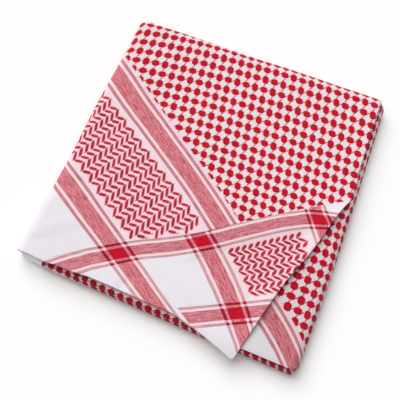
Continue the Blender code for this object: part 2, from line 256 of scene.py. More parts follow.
def poly(c, x, y):
    """c0 + cx x + cy y + cxx x2 + cxy xy + cyy y2, then the four third powers; decimetres."""
    x, y = x / 100, y / 100
    terms = (1, x, y, x * x, x * y, y * y, x**3, x * x * y, x * y * y, y**3)
    return sum(k * t for k, t in zip(c, terms))


# block number across and down, over the cloth
CHECK_T = ((-3.045, 8.441, 1.740, 0.472, -0.045, 0.082, -0.034, -0.269, 0.076, -0.058),
           (7.424, 0.371, -8.252, -0.247, 0.119, 0.867, 0.047, 0.003, -0.064, -0.147))
TWILL_T = ((7.523, 5.519, -2.580, 0.237, 0.138, 0.231), (-7.352, -7.694, -11.813, -0.292, -0.728, -0.273))
TWILL_F = ((-9.599, 6.763, -7.202, -0.761, 0.647, 0.368), (6.129, 6.370, 13.697, 0.279, -2.3, 0.917))


def design_top(x, y):
    a, two, c = BAND_A(x, y), BAND_2(x, y), BAND_C(x, y)
    far = np.full_like(a, FAR)
    return {
        "bands": (a, two, far), "cross": (c, far, far),
        "chk": (poly(CHECK_T[0], x, y), poly(CHECK_T[1], x, y) - 0.28 * ease(y, 160, 174), (a - 1.76) * 8.7),
        "twl": (poly(TWILL_T[0], x, y), poly(TWILL_T[1], x, y), far),
    }


def design_flap(x, y):
    a, two, e = BAND_AP(x, y), BAND_2(x, y), BAND_E(x, y)
    far = np.full_like(a, FAR)
    return {
        "bands": (a, two, e), "cross": (BAND_C(x, y), BAND_D(x, y), far),
        "chk": (x / 12, y / 12, -far),
        "twl": (poly(TWILL_F[0], x, y), poly(TWILL_F[1], x, y), far),
    }


# the column of blocks that turns over the right side: y, x
UNDER_COLUMN = Curve([(-150, 164.4), (-104, 164.2), (-56, 165.0), (-44, 164.1), (-31, 162.7), (-18, 160.9),
                      (-5, 159.3), (6, 159.9), (20, 162.6), (34, 164.1), (62, 164.6), (90, 164.7), (120, 165.0)],
                     monotone=True)
UNDER_ACROSS = Curve([(-55.5, -2), (-43.5, -1), (-31.5, 0), (-20, 1), (-9.3, 2), (0, 3), (8.2, 4), (16.6, 5)])
UNDER_DOWN = Curve([(-151, 9), (-138, 8), (-126, 7), (-113.9, 6), (-101.9, 5), (-90, 4), (-78.5, 3), (-66.7, 2),
                    (-54.5, 1), (-42.7, 0), (-30, -1), (-18, -2), (-6, -3), (6.3, -4), (19.5, -5), (33.5, -6),
                    (47.5, -7), (61.5, -8), (76, -9), (90.2, -10), (104.5, -11), (118.7, -12)])


def design_under(x, y):
    u = BAND_U(x, y)
    far = np.full_like(u, FAR)
    return {"bands": (u, far, far), "cross": (far, far, far),
            "chk": (UNDER_ACROSS(x - UNDER_COLUMN(y)) + poly((0.319, -0.151, 0.208), x, np.minimum(y, -20))
                    + 0.13 * ease(y, -12, 24),
                    UNDER_DOWN(y) + poly((0.275, -0.2), x, y), (u - 1.76) * 8.2),
            "twl": (far, far, far)}


def design_wrap(x, y):
    """One row of blocks on the upper ply, and one behind its edge on the lower."""
    far = np.full_like(x, FAR)
    edge = ROLL_PLY(x)
    low = y < edge
    i = poly((11.21, 8.99, 0, 0.138, 0, 0, 0.205), x, y) - 0.17 * low
    small = ease(x, -98, -74)
    j = np.where(low, (y - edge + 3.3 - 0.9 * small) * (1 + 0.55 * small), y - edge - 3.7) / 11.9
    return {"bands": (far, far, far), "cross": (far, far, far), "chk": (i, j, x + 131.5 + 5.0 * low),
            "twl": (far, far, far)}


# ------------------------------------------------------------ meshes
def make_mesh(name, verts, faces, fields, uv):
    mesh = bpy.data.meshes.new(name)
    verts = (settle(verts + drift(verts)) - MIDDLE) * MM
    mesh.vertices.add(len(verts))
    mesh.vertices.foreach_set("co", verts.astype(np.float32).ravel())
    sizes = np.array([len(f) for f in faces])
    flat = np.concatenate([np.asarray(f) for f in faces]) if len(set(sizes)) > 1 else np.asarray(faces).ravel()
    mesh.loops.add(int(sizes.sum()))
    mesh.loops.foreach_set("vertex_index", flat.astype(np.int32))
    mesh.polygons.add(len(faces))
    mesh.polygons.foreach_set("loop_start", np.concatenate([[0], np.cumsum(sizes)[:-1]]).astype(np.int32))
    mesh.polygons.foreach_set("loop_total", sizes.astype(np.int32))
    mesh.update(calc_edges=True)
    for key, (a, b, c) in fields.items():
        attr = mesh.attributes.new(key, "FLOAT_VECTOR", "POINT")
        attr.data.foreach_set("vector", np.stack([a, b, c], -1).astype(np.float32).ravel())
    layer = mesh.uv_layers.new(name="OFBake")
    layer.data.foreach_set("uv", np.asarray(uv, np.float32).ravel())
    mesh.validate()
    mesh.shade_smooth()
    obj = bpy.data.objects.new(name, mesh)
    bpy.context.scene.collection.objects.link(obj)
    return obj


def shell(name, us, vs, place, thick, design, roundness=None, rings=4):
    """Closed wall of cloth with rounded rims.

    place(u, v) gives points and normals of the outer face and the place on
    the unrolled cloth.  roundness(u, v) is 1 where a rim is rolled over and 0
    where it butts against the next piece.
    """
    nu, nv = len(us), len(vs)
    uu, vv = np.meshgrid(us, vs, indexing="ij")
    p, n, cloth = place(uu, vv)
    depth = thick(uu, vv) if callable(thick) else np.full(uu.shape, float(thick))
    loop = ([(i, 0) for i in range(nu)] + [(nu - 1, j) for j in range(1, nv)]
            + [(i, nv - 1) for i in range(nu - 2, -1, -1)] + [(0, j) for j in range(nv - 2, 0, -1)])
    li = np.array([a for a, _ in loop])
    lj = np.array([b for _, b in loop])
    out = np.zeros((len(loop), 3))
    out2 = np.zeros((len(loop), 2))
    for mask, di, dj in ((li == 0, 1, 0), (li == nu - 1, -1, 0), (lj == 0, 0, 1), (lj == nv - 1, 0, -1)):
        a, b = li[mask], lj[mask]
        o = p[a, b] - p[a + di, b + dj]
        out[mask] += o / np.maximum(np.linalg.norm(o, axis=-1, keepdims=True), 1e-9)
        o = cloth[a, b] - cloth[a + di, b + dj]
        out2[mask] += o / np.maximum(np.linalg.norm(o, axis=-1, keepdims=True), 1e-9)
    nb = n[li, lj]
    out -= nb * np.sum(out * nb, -1, keepdims=True)
    out /= np.maximum(np.linalg.norm(out, axis=-1, keepdims=True), 1e-9)
    out2 /= np.maximum(np.linalg.norm(out2, axis=-1, keepdims=True), 1e-9)
    rho = np.ones(len(loop)) if roundness is None else roundness(us[li], vs[lj])
    rho = rho[:, None]
    half = depth[li, lj][:, None] / 2
    p[li, lj] -= out * half * rho
    cloth[li, lj] -= out2 * half * rho
    inner = p - n * depth[..., None]
    verts, cl = [p.reshape(-1, 3)], [cloth.reshape(-1, 2)]
    centre = p[li, lj] - nb * half
    for r in range(1, rings):
        a = math.pi * r / rings
        verts.append(centre + half * (nb * math.cos(a) + out * math.sin(a) * rho))
        cl.append(cloth[li, lj] + out2 * half * a * rho)
    verts.append(inner.reshape(-1, 3))
    cl.append(cloth.reshape(-1, 2))
    verts, cl = np.concatenate(verts), np.concatenate(cl)

    grid = np.arange(nu * nv).reshape(nu, nv)
    m = len(loop)
    base = nu * nv
    ring_ids = [grid[li, lj]] + [base + m * k + np.arange(m) for k in range(rings - 1)]
    under = base + m * (rings - 1) + grid
    ring_ids.append(under[li, lj])
    q = np.stack([grid[:-1, :-1], grid[1:, :-1], grid[1:, 1:], grid[:-1, 1:]], -1).reshape(-1, 4)
    g = np.stack([(uu - us[0]) / (us[-1] - us[0]), (vv - vs[0]) / (vs[-1] - vs[0])], -1).reshape(-1, 2)
    uv_out = np.array([0.01, 0.01]) + g * 0.86
    uv_in = np.array([0.89, 0.01]) + g * np.array([0.10, 0.86])
    faces, uvs = [q], [uv_out[q]]
    q2 = q[:, ::-1]
    faces.append(q2 + under[0, 0])
    uvs.append(uv_in[q2])
    along = np.arange(m + 1) / m * 0.98 + 0.01
    for k in range(rings):
        a, b = ring_ids[k], ring_ids[k + 1]
        f = np.stack([a, b, np.roll(b, -1), np.roll(a, -1)], -1)
        lo, hi = 0.89 + 0.10 * k / rings, 0.89 + 0.10 * (k + 1) / rings
        u0, u1 = along[:-1], along[1:]
        w = np.stack([np.stack([u0, np.full(m, lo)], -1), np.stack([u0, np.full(m, hi)], -1),
                      np.stack([u1, np.full(m, hi)], -1), np.stack([u1, np.full(m, lo)], -1)], 1)
        faces.append(f)
        uvs.append(w)
    faces, uvs = np.concatenate(faces), np.concatenate(uvs)
    # pattern coordinates follow the cloth, shifted as the packet's outline is
    shift = drift(np.concatenate([cl, np.zeros((len(cl), 1))], -1))
    x, y = cl[:, 0] + shift[:, 0], cl[:, 1] + shift[:, 1]
    fields = design(x, y)
    fields["cloth"] = (x, y, np.zeros_like(x))
    return make_mesh(name, verts, faces, fields, uvs.reshape(-1, 2))


pleat_y = Curve(PLEAT)


def build_top():
    skirt = TOP_R * SKIRT
    x0, y1 = FLAT_LEFT - skirt, FLAT_BACK + skirt

    def low_edge(x):
        deep = PLEAT_DEPTH * 1.2 * ease(x, PLEAT_OPENS[1], PLEAT_OPENS[1] + 34) * (1 - 0.85 * ease(x, 116, 156))
        pleat = pleat_y(np.clip(x, PLEAT[0][0], PLEAT[-1][0])) + 0.01 - deep
        hang = TOP_HANG(x) * ease(-x, 122, 128)
        return np.where(x <= PLEAT[0][0], TOP_FRONT, pleat) - hang

    def place(u, v):
        low = low_edge(u)
        y = np.where(v <= 1, low + (FLAT_BACK - low) * v, FLAT_BACK + (v - 1))
        x, y = round_corner(-u, y, (-FLAT_LEFT, FLAT_BACK), (skirt, skirt))
        x, y = round_corner(-x, y, (TOP_RIGHT - 12, FLAT_BACK + 1), (12, skirt - 1))
        p, n = rolled(x, y, TOP_R, left=True, front=True, back=True)
        return p, n, np.stack([x, y], -1)

    def thick(u, v):
        # doubled under at the white corner, where the front edge is a fold
        return TOP_T + 2.0 * (1 - ease(v * (FLAT_BACK - TOP_FRONT), 2, 8)) * (1 - ease(u, -136, -124))

    def roundness(u, v):
        seam = (v <= 1e-6) & (u > PLEAT[0][0] - 1)
        return np.where(seam, ease(u, PLEAT_OPENS[0] + 6, PLEAT_OPENS[1] + 10), 1.0)

    us = lines((x0, FLAT_LEFT, 1.5), (FLAT_LEFT, PLEAT[0][0] - 2, 1.9), (PLEAT[0][0] - 2, PLEAT[0][0] + 2, 0.5),
               (PLEAT[0][0] + 2, TOP_RIGHT - 6, 1.95), (TOP_RIGHT - 6, TOP_RIGHT, 1.0))
    vs = lines((0.0, 0.02, 0.0035), (0.02, 1.0, 0.0066), (1.0, 1 + skirt, 1.5))
    return shell("top_cloth", us, vs, place, thick, design_top, roundness)


# the flap's free edge bows in: part of the way from tip to pleat, x
FREE_EDGE = Curve([(0.0, 0.0), (0.08, -1.6), (0.18, -3.2), (0.3, -5.2), (0.4, -6.4), (0.5, -5.8),
                   (0.62, -4.0), (0.72, -3.7), (0.82, -4.5), (0.91, -4.6), (0.98, -2.8), (1.0, -2.0)])
TIP_ROUND = 5.0
FREE_LIFT = 3.2


def build_flap():
    first = PLEAT[0][0] + 0.3
    start = np.array([first, TOP_FRONT])
    tip, turn = np.array(FLAP_TIP), np.array(FLAP_TURN)
    front, hang = np.linalg.norm(turn - start), np.linalg.norm(tip - turn)
    side = np.array([(tip - turn)[1], -(tip - turn)[0]]) / hang

    def upper(s):
        x = first + (PLEAT[-1][0] - first) * s
        return np.stack([x, pleat_y(x) - 0.01 - TOP_HANG(x) * ease(-x, 122, 128)], -1)

    def lower(s):
        d = s * (front + hang)
        a = start + (turn - start) * (np.minimum(d, front) / front)[..., None]
        a[..., 1] -= TOP_HANG(a[..., 0])
        k = np.clip((d - front) / hang, 0, 1)
        b = (tip - turn) * k[..., None] + side * (-2.2 * np.sin(math.pi * k))[..., None]
        return a + b

    reach = front + hang
    rise = np.linalg.norm(np.array(PLEAT[-1]) - tip)

    def place(u, v):
        # the tip's corner is drawn in to a curve
        a, b = TIP_ROUND - (1 - u) * reach, TIP_ROUND - v * rise
        both = (a > 0) & (b > 0)
        k = np.where(both, np.maximum(a, b) / np.maximum(np.hypot(a, b), 1e-9), 1.0)
        u, v = np.where(both, 1 - (TIP_ROUND - a * k) / reach, u), np.where(both, (TIP_ROUND - b * k) / rise, v)
        lo, up = lower(u), upper(u)
        xy = lo + (up - lo) * v[..., None]
        xy[..., 0] += FREE_EDGE(v) * ease(u, 0.45, 1.0)
        loose = np.linalg.norm(xy - xy[-1:], axis=-1)
        curl = FREE_LIFT * (1 - ease(loose, 0, 26)) * ease(v, 0.04, 0.25) * (1 - ease(v, 0.84, 1.0))
        away = np.linalg.norm(up - xy, axis=-1)
        lift = (GAP + FLAP_T) * ease(xy[..., 0], *PLEAT_OPENS) * (1 - ease(away, 26, 52))
        z = CENTRE_Z + TOP_R + lift + curl
        past = np.maximum(0.0, FLAT_FRONT - xy[..., 1])
        droop = TOP_R + (FLAP_DROOP_R - TOP_R) * ease(xy[..., 0], -122, -90)
        a = past / droop
        y = np.where(past > 0, FLAT_FRONT - droop * np.sin(a), xy[..., 1])
        z = z - droop * (1 - np.cos(a))
        n = np.stack([np.zeros_like(a), -np.sin(a), np.cos(a)], -1)
        return np.stack([xy[..., 0], y, z], -1), n, xy

    def roundness(u, v):
        x = first + (PLEAT[-1][0] - first) * u
        seam = np.where(v >= 1 - 1e-9, ease(x, *PLEAT_OPENS), 1.0)
        return np.where(u <= 1e-9, 0.0, seam)

    us = lines((0.0, 0.02, 0.004), (0.02, 0.6, 0.0075), (0.6, 0.965, 0.0055), (0.965, 1.0, 0.0027))
    vs = lines((0.0, 0.036, 0.0036), (0.036, 0.96, 0.0105), (0.96, 1.0, 0.008))
    return shell("flap_cloth", us, vs, place, FLAP_T, design_flap, roundness)


def build_under():
    skirt = UNDER_R * SKIRT
    x0, x1, y1 = FLAT_LEFT - skirt, FLAT_RIGHT + skirt, FLAT_BACK + skirt
    near = FLAT_FRONT - UNDER_FRONT_ARC

    def place(u, v):
        edge = UNDER_RECESS + (near - UNDER_RECESS) * ease(u, *UNDER_RECESS_X)
        y = v + (edge - near) * ease(-v, 110, -near)
        x, y = round_corner(u, y, (FLAT_RIGHT, FLAT_BACK), (skirt, skirt))
        x, y = round_corner(-x, y, (-FLAT_LEFT, FLAT_BACK), (skirt, skirt))
        x = -x
        x2, y2 = round_corner(x, -y, (FLAT_RIGHT - 5, -FLAT_FRONT - 5), (skirt + 5, UNDER_FRONT_ARC + 5))
        x, y = np.where(u > FLAT_RIGHT - 5, x2, x), np.where(u > FLAT_RIGHT - 5, -y2, y)
        p, n = rolled(x, y, UNDER_R, left=True, right=True, front=True, back=True)
        return p, n, np.stack([x, y], -1)

    us = lines((x0, FLAT_LEFT, 3.0), (FLAT_LEFT, 60, 9.0), (60, FLAT_RIGHT, 1.9), (FLAT_RIGHT, x1, 1.3))
    vs = lines((near, FLAT_FRONT, 1.0), (FLAT_FRONT, 36, 1.9), (36, FLAT_BACK, 3.0), (FLAT_BACK, y1, 1.6))
    return shell("under_cloth", us, vs, place, UNDER_T, design_under)


# along the front roll, where one ply ends over the next: x, height on the cloth
ROLL_PLY = Curve([(-175, 6.5), (-152, 8.2), (-132, 10.5), (-120, 12.2), (-112, 12.0), (-104, 11.2), (-91, 9.2),
                  (-80, 7.2), (-68, 5.9), (-56, 4.8), (-40, 4.6), (40, 4.8), (170, 4.5)], monotone=True)


def build_wrap():
    half = math.pi * WRAP_R
    bottom, top = FLAT_BACK + 10.0, FLAT_BACK - 6.0
    low = bottom - FLAT_FRONT
    left = Curve([(0.0, -163.5), (low - 14, -163.5), (low, -158.6), (low + 0.35 * half, -154.2),
                  (low + 0.5 * half, -153.4), (low + 0.69 * half, -156.4), (low + 0.84 * half, -158.8),
                  (low + half + 2, -159.2), (low + half + 12, -152.8), (low + half + 300, -152.8)], monotone=True)
    right = Curve([(0.0, 167.0), (low - 17, 167.0), (low - 4, 164.6), (low + 0.3 * half, 164.6),
                   (low + 0.6 * half, 164.6), (low + 0.85 * half, 160.6), (low + half + 300, 158.2)], monotone=True)

    def place(u, v):
        x = left(v) * (1 - u) + right(v) * u
        a = np.clip(v - low, 0, half) / WRAP_R
        n = np.stack([np.zeros_like(a), -np.sin(a), -np.cos(a)], -1)
        y = np.where(v < low, bottom - v, FLAT_FRONT + np.maximum(v - low - half, 0))
        p = np.stack([x, y, np.full_like(x, CENTRE_Z)], -1) + n * WRAP_R
        p[..., 1] += 1.5 * (1 - ease(x, -150, -104)) * np.sin(a)
        c = v - low - half / 2
        over = (c - ROLL_PLY(x)) / 1.2
        dent = 0.75 * np.where(over < 0, np.exp(np.maximum(over, -9) * 0.55), np.exp(-np.minimum(over, 9) ** 2 * 3))
        p -= n * (dent * bump_at(c, 3, 14))[..., None]
        return p, n, np.stack([x, c], -1)

    us = lines((0.0, 0.012, 0.004), (0.012, 0.988, 0.0062), (0.988, 1.0, 0.004))
    vs = lines((0.0, 4.0, 2.0), (4.0, low - 24, 14.0), (low - 24, low, 2.0), (low, low + half + 14, 1.4),
               (low + half + 14, low + half + top - FLAT_FRONT, 14.0))
    vs = np.unique(np.concatenate([vs, np.arange(low + half / 2, low + half / 2 + 14, 0.47)]))
    return shell("wrap_cloth", us, vs, place, WRAP_T, design_wrap)


# edge of the hidden plies: height and how far each lies under the side's radius
CORE_EDGE = [
    (1.5, 3.4), (1.7, 2.1), (2.1, 1.15), (2.7, 0.8), (3.3, 1.1), (3.7, 1.9), (3.95, 2.9), (4.2, 1.9),
    (4.6, 1.15), (5.1, 0.95), (5.7, 1.3), (6.1, 2.1), (6.35, 3.1), (6.6, 2.0), (7.0, 1.2), (7.5, 0.95),
    (8.1, 1.3), (8.6, 2.1), (8.9, 2.9),
]
CORE_SHOULDER = [(9.4, 8.6), (11.2, 8.6), (12.8, 7.6), (14.1, 6.0), (14.9, 4.2), (15.3, 2.0)]


def build_core():
    corners = [(FLAT_RIGHT, FLAT_FRONT, -90), (FLAT_RIGHT, FLAT_BACK, 0),
               (FLAT_LEFT, FLAT_BACK, 90), (FLAT_LEFT, FLAT_FRONT, 180)]
    stand = []
    turn, step = 14, 2.4
    for k, (x, y, start) in enumerate(corners):
        for i in range(turn + 1):
            a = math.radians(start + 90 * i / turn)
            stand.append((x, y, math.cos(a), math.sin(a)))
        nx, ny, _ = corners[(k + 1) % 4]
        a = math.radians(start + 90)
        count = int(math.hypot(nx - x, ny - y) / step)
        for i in range(1, count):
            f = i / count
            stand.append((x + (nx - x) * f, y + (ny - y) * f, math.cos(a), math.sin(a)))
    stand = np.array(stand)
    x, y, nx, ny = stand.T
    front = ease(-ny, 0.15, 0.95)
    side = UNDER_R + (TOP_R - UNDER_R) * np.maximum(ease(-nx, 0.1, 0.9), ease(ny, 0.1, 0.9))
    m = len(stand)
    walk = np.concatenate([[0], np.cumsum(np.hypot(np.diff(x + 9 * nx), np.diff(y + 9 * ny)))])
    rings, arc, was = [], [], None
    for z, edge in CORE_EDGE + CORE_SHOULDER:
        if z <= CORE_EDGE[-1][0]:
            # each fold wanders in and out by itself along the side
            which = int((z - 1.3) / 2.45)
            wander = 0.55 * (value_noise(walk / 41 + 7 * which, walk * 0 + which * 3.7, 21) - 0.8)
            r = side - edge + np.minimum(wander, 0.0)
        else:
            r = np.full(m, float(edge))
        # room in front for the groove of the roll, and for its drawn-back left end
        tube = math.sqrt(max((CORE_FRONT_R - 1.1) ** 2 - (z - CENTRE_Z) ** 2, 0.01))
        tube = tube - 1.1 * (1 - ease(x, -150, -104))
        r = r + (tube - r) * front
        r = np.where(ny < -0.01, np.minimum(r, tube / np.maximum(-ny, 1e-6)), r)
        r = r - np.where((nx < 0) & (ny < 0), 5.0 * nx * ny, 0.0)
        ring = np.stack([x + nx * r, y + ny * r, np.full(m, z)], -1)
        arc.append(np.zeros(m) if was is None else arc[-1] + np.linalg.norm(ring - was, axis=-1))
        was = ring
        rings.append(ring)
    k = len(rings)
    verts = np.concatenate(rings)
    ids = np.arange(m * k).reshape(k, m)
    a, b = ids[:-1], ids[1:]
    quads = np.stack([a, np.roll(a, -1, 1), np.roll(b, -1, 1), b], -1).reshape(-1, 4)
    col = np.arange(m * (k - 1)).reshape(k - 1, m)
    c, r = col % m, col // m
    u0, u1 = 0.01 + 0.98 * c / m, 0.01 + 0.98 * (c + 1) / m
    v0, v1 = 0.30 + 0.69 * r / (k - 1), 0.30 + 0.69 * (r + 1) / (k - 1)
    uv = np.stack([np.stack([u0, v0], -1), np.stack([u1, v0], -1), np.stack([u1, v1], -1), np.stack([u0, v1], -1)], 2)
    faces = [list(f) for f in quads] + [list(ids[0][::-1]), list(ids[-1])]
    size = np.array([400.0, 400.0])
    cap = lambda ring, at: at + (ring[:, :2] + size / 2) / size * np.array([0.46, 0.26])
    uvs = np.concatenate([uv.reshape(-1, 2), cap(rings[0][::-1], np.array([0.01, 0.01])),
                          cap(rings[-1], np.array([0.51, 0.01]))])
    arc = np.concatenate(arc)
    along = np.tile(walk, k)
    far = np.full(m * k, FAR)
    fields = {"bands": (far, far, far), "cross": (far, far, far), "chk": (along / 10.9, arc / 11.6, np.tile(np.hypot(x + 165, y + 176) - 30, k)),
              "twl": (far, far, far), "cloth": (along, arc, far)}
    return make_mesh("hidden_plies", verts, faces, fields, uvs)


# ------------------------------------------------------------ node arithmetic
def linear(r, g, b):
    """Display colour 0..255 to the shader's linear values."""
    f = lambda c: c / 12.92 if c <= 0.04045 else ((c + 0.055) / 1.055) ** 2.4
    return (f(r / 255), f(g / 255), f(b / 255), 1.0)


class Net:
    def __init__(self, tree):
        self.tree = tree

    def link(self, value, socket):
        if isinstance(value, Sock):
            self.tree.links.new(value.s, socket)
        else:
            socket.default_value = value

    def math(self, op, *args, clamp=False):
        node = self.tree.nodes.new("ShaderNodeMath")
        node.operation = op
        node.use_clamp = clamp
        for a, s in zip(args, node.inputs):
            self.link(a, s)
        return Sock(self, node.outputs[0])

    def attr(self, name):
        node = self.tree.nodes.new("ShaderNodeAttribute")
        node.attribute_name = name
        sep = self.tree.nodes.new("ShaderNodeSeparateXYZ")
        self.tree.links.new(node.outputs["Vector"], sep.inputs[0])
        return [Sock(self, s) for s in sep.outputs]

    def join(self, x, y, z=0.0):
        node = self.tree.nodes.new("ShaderNodeCombineXYZ")
        for a, s in zip((x, y, z), node.inputs):
            self.link(a, s)
        return Sock(self, node.outputs[0])

    def noise(self, vector, scale=1.0, detail=2.0, rough=0.5):
        node = self.tree.nodes.new("ShaderNodeTexNoise")
        node.inputs["Scale"].default_value = scale
        node.inputs["Detail"].default_value = detail
        node.inputs["Roughness"].default_value = rough
        self.link(vector, node.inputs["Vector"])
        return Sock(self, node.outputs[0])

    def random(self, x, y, seed=0.0):
        node = self.tree.nodes.new("ShaderNodeTexWhiteNoise")
        node.noise_dimensions = "3D"
        self.link(self.join(x, y, seed), node.inputs["Vector"])
        return Sock(self, node.outputs["Value"])

    def smooth(self, x, lo, hi, out_lo=0.0, out_hi=1.0):
        node = self.tree.nodes.new("ShaderNodeMapRange")
        node.interpolation_type = "SMOOTHSTEP"
        for value, key in ((x, "Value"), (lo, "From Min"), (hi, "From Max"), (out_lo, "To Min"), (out_hi, "To Max")):
            self.link(value, node.inputs[key])
        return Sock(self, node.outputs[0])

    def mix(self, fac, a, b, blend="MIX"):
        node = self.tree.nodes.new("ShaderNodeMix")
        node.data_type = "RGBA"
        node.blend_type = blend
        node.clamp_factor = True
        self.link(fac, node.inputs[0])
        self.link(a, node.inputs[6])
        self.link(b, node.inputs[7])
        return Sock(self, node.outputs[2])

    def biggest(self, *args):
        out = args[0]
        for a in args[1:]:
            out = self.math("MAXIMUM", out, a)
        return out


class Sock:
    def __init__(self, net, s):
        self.net, self.s = net, s

    def __add__(self, o):
        return self.net.math("ADD", self, o)

    __radd__ = __add__

    def __sub__(self, o):
        return self.net.math("SUBTRACT", self, o)

    def __rsub__(self, o):
        return self.net.math("SUBTRACT", o, self)

    def __mul__(self, o):
        return self.net.math("MULTIPLY", self, o)

    __rmul__ = __mul__

    def __truediv__(self, o):
        return self.net.math("DIVIDE", self, o)

    def __pow__(self, o):
        return self.net.math("POWER", self, o)

    def __neg__(self):
        return self.net.math("MULTIPLY", self, -1.0)

    def abs(self):
        return self.net.math("ABSOLUTE", self)

    def round(self):
        return self.net.math("ROUND", self)

    def floor(self):
        return self.net.math("FLOOR", self)

    def fract(self):
        return self.net.math("FRACT", self)

    def over(self, o):
        return self.net.math("GREATER_THAN", self, o)

    def under(self, o):
        return self.net.math("LESS_THAN", self, o)


WHITE = linear(236, 233, 239)
WHITE_GAP = linear(251, 229, 227)
BLUSH = linear(250, 198, 208)
CREAM = linear(250, 230, 225)
SKIN = linear(250, 190, 200)
LILAC = linear(224, 224, 229)
BEIGE = linear(236, 192, 190)
PALE = linear(250, 244, 243)
VEIL = linear(240, 232, 234)
VEIL_DEEP = linear(236, 206, 216)
RED_TWILL = linear(196, 42, 72)
RED_DEEP = linear(142, 34, 58)
PINK_LINE = linear(218, 140, 154)
PINK_LINE_DEEP = linear(190, 108, 130)
BROWN = linear(110, 42, 42)
ROSE = linear(150, 44, 68)
TICK = linear(92, 56, 58)


def stripe(net, w, gap=1.37, line=1.80, soft=0.05):
    """Broad stripe, and the fine line on each side of it, as 0..1 masks."""
    m = w.abs()
    thick = net.smooth(m, 1 + soft, 1 - soft)
    fine = net.smooth(m, gap - soft, gap + soft) * net.smooth(m, line + soft, line - soft)
    space = net.smooth(m, 1 - soft, 1 + soft) * net.smooth(m, gap + soft, gap - soft)
    return thick, fine, space


def checks(net, i, j, d, ei, ej, normal, lying=(4.45, 3.6), standing=(3.85, 4.5)):
    """Rows of rounded blocks, lying and standing by turns, tied by fine threads."""
    li, lj = math.hypot(*ei), math.hypot(*ej)
    ri, rj = i.round(), j.round()
    fi, fj = i - ri, j - rj
    odd = ((ri + rj) * 0.5).fract() * 2.0
    odd = odd.over(0.5)
    vary = net.random(ri, rj, 1.0)
    grow = vary * 0.05 + 0.975
    hx = (odd * (lying[0] - standing[0]) + standing[0]) * grow
    hy = (odd * (lying[1] - standing[1]) + standing[1]) * grow
    row = 0.95
    stepped = ((fj * lj / row).floor() + 0.5) * row
    mixed = stepped * 0.6 + fj * (0.4 * lj)
    a = (fi * li).abs() / hx
    b = mixed.abs() / hy
    body = a ** 3.0 + b ** 3.0
    blob = net.smooth(body, 1.14, 0.88)
    core_of = net.smooth(body, 0.85, 0.1)
    halo = net.smooth(body, 3.2, 1.0)
    # a block is whole when its middle is far enough in, else cut along the stripe
    middle = d - fi * (ei[0] * normal[0] + ei[1] * normal[1]) - fj * (ej[0] * normal[0] + ej[1] * normal[1])
    keep = net.biggest(middle.over(6.2), net.smooth(d, 3.7, 4.3) * middle.over(1.0))
    blob = blob * keep

    def tie(di, dj, ux, uy, long, wide):
        a = i - di
        b = j - dj
        a = a - a.round()
        b = b - b.round()
        s = (a * (ei[0] * ux + ei[1] * uy) + b * (ej[0] * ux + ej[1] * uy)).abs()
        t = (a * (-ei[0] * uy + ei[1] * ux) + b * (-ej[0] * uy + ej[1] * ux)).abs()
        return net.smooth(s, long + 0.4, long - 0.2) * net.smooth(t, wide + 0.18, wide - 0.18)

    near = net.smooth(d, 3.6, 4.6)
    field = net.smooth(d, 0.0, 1.4)
    tie_v = tie(0.0, 0.5, -0.341, -0.940, 1.9, 0.7) * near
    tie_h = tie(0.5, 0.0, 0.732, 0.682, 1.7, 0.7) * near
    ci, cj = i - 0.5, j - 0.5
    ci, cj = (ci - ci.round()).abs(), (cj - cj.round()).abs()
    hollow = net.smooth(ci + cj, 0.36, 0.16) * near
    return blob, tie_v, tie_h, hollow, (field, near), core_of, halo, vary


def twill(net, a, b, spec, zones):
    """Herringbone of leaf-shaped floats: a level set and a steep set."""
    v, w = np.array(spec["V"]), np.array(spec["W"])
    marks, halos, ticks, tone, deep, inside = [], [], None, None, None, None
    for key in ("flat", "steep"):
        f = np.array(spec[key])
        ca, cb = spec[key + "_mid"]
        k = spec[key + "_k"]
        hl, hw, blunt = spec[key + "_size"]
        f = f / np.linalg.norm(f)
        g = np.array([-f[1], f[0]])
        e1 = v + k * w
        p = a - ca
        q = (b - cb) - p * k
        rp, rq = p.round(), q.round()
        fp, fq = p - rp, q - rq
        s = fp * float(e1 @ f) + fq * float(w @ f)
        t = fp * float(e1 @ g) + fq * float(w @ g)
        vary = net.random(rp, rq, 2.0 if key == "flat" else 3.0)
        shift = net.random(rp, rq, 6.0 if key == "flat" else 8.0)
        s = s + (shift - 0.5) * 0.7
        leaf = 1.0 - (s / hl).abs() ** blunt - (t.abs() / (vary * 0.4 + (hw - 0.2)))
        mark = net.smooth(leaf, -0.14, 0.20)
        keep = None
        for d, normal, margin in zones:
            m = margin[0] if key == "flat" else margin[1]
            n = np.array(normal)
            k = (d - fp * float(e1 @ n) - fq * float(w @ n)).over(m)
            keep = k if keep is None else keep * k
        marks.append(mark * keep)
        halos.append(net.smooth(leaf, -1.3, -0.1) * keep)
        if key == "flat":
            # a short dark stitch past each end of a lying float
            reach, lean, size, wide = spec["tick"]
            c, k = math.cos(lean), math.sin(lean)
            off = s - net.math("SIGN", s) * reach
            along, past = off * c + t * k, t * c - off * k
            ticks = net.smooth(along.abs(), size + 0.4, size - 0.3) * net.smooth(past.abs(), wide + 0.35, wide - 0.2) * keep
        end = net.smooth((s / hl).abs(), 0.55, 0.98) * mark * keep
        tone = end if tone is None else net.biggest(tone, end)
        dark = net.smooth(shift * 0.5 + vary * 0.5, 0.25, 0.85) * mark * keep
        deep = dark if deep is None else net.biggest(deep, dark)
    field = None
    for d, normal, margin in zones:
        k = net.smooth(d, min(margin) - 2.5, min(margin) + 0.5)
        inside = k if inside is None else inside * k
        k = net.smooth(d, 0.0, 1.4)
        field = k if field is None else field * k
    return net.biggest(*marks), tone, (inside, field), net.biggest(*halos), ticks, deep


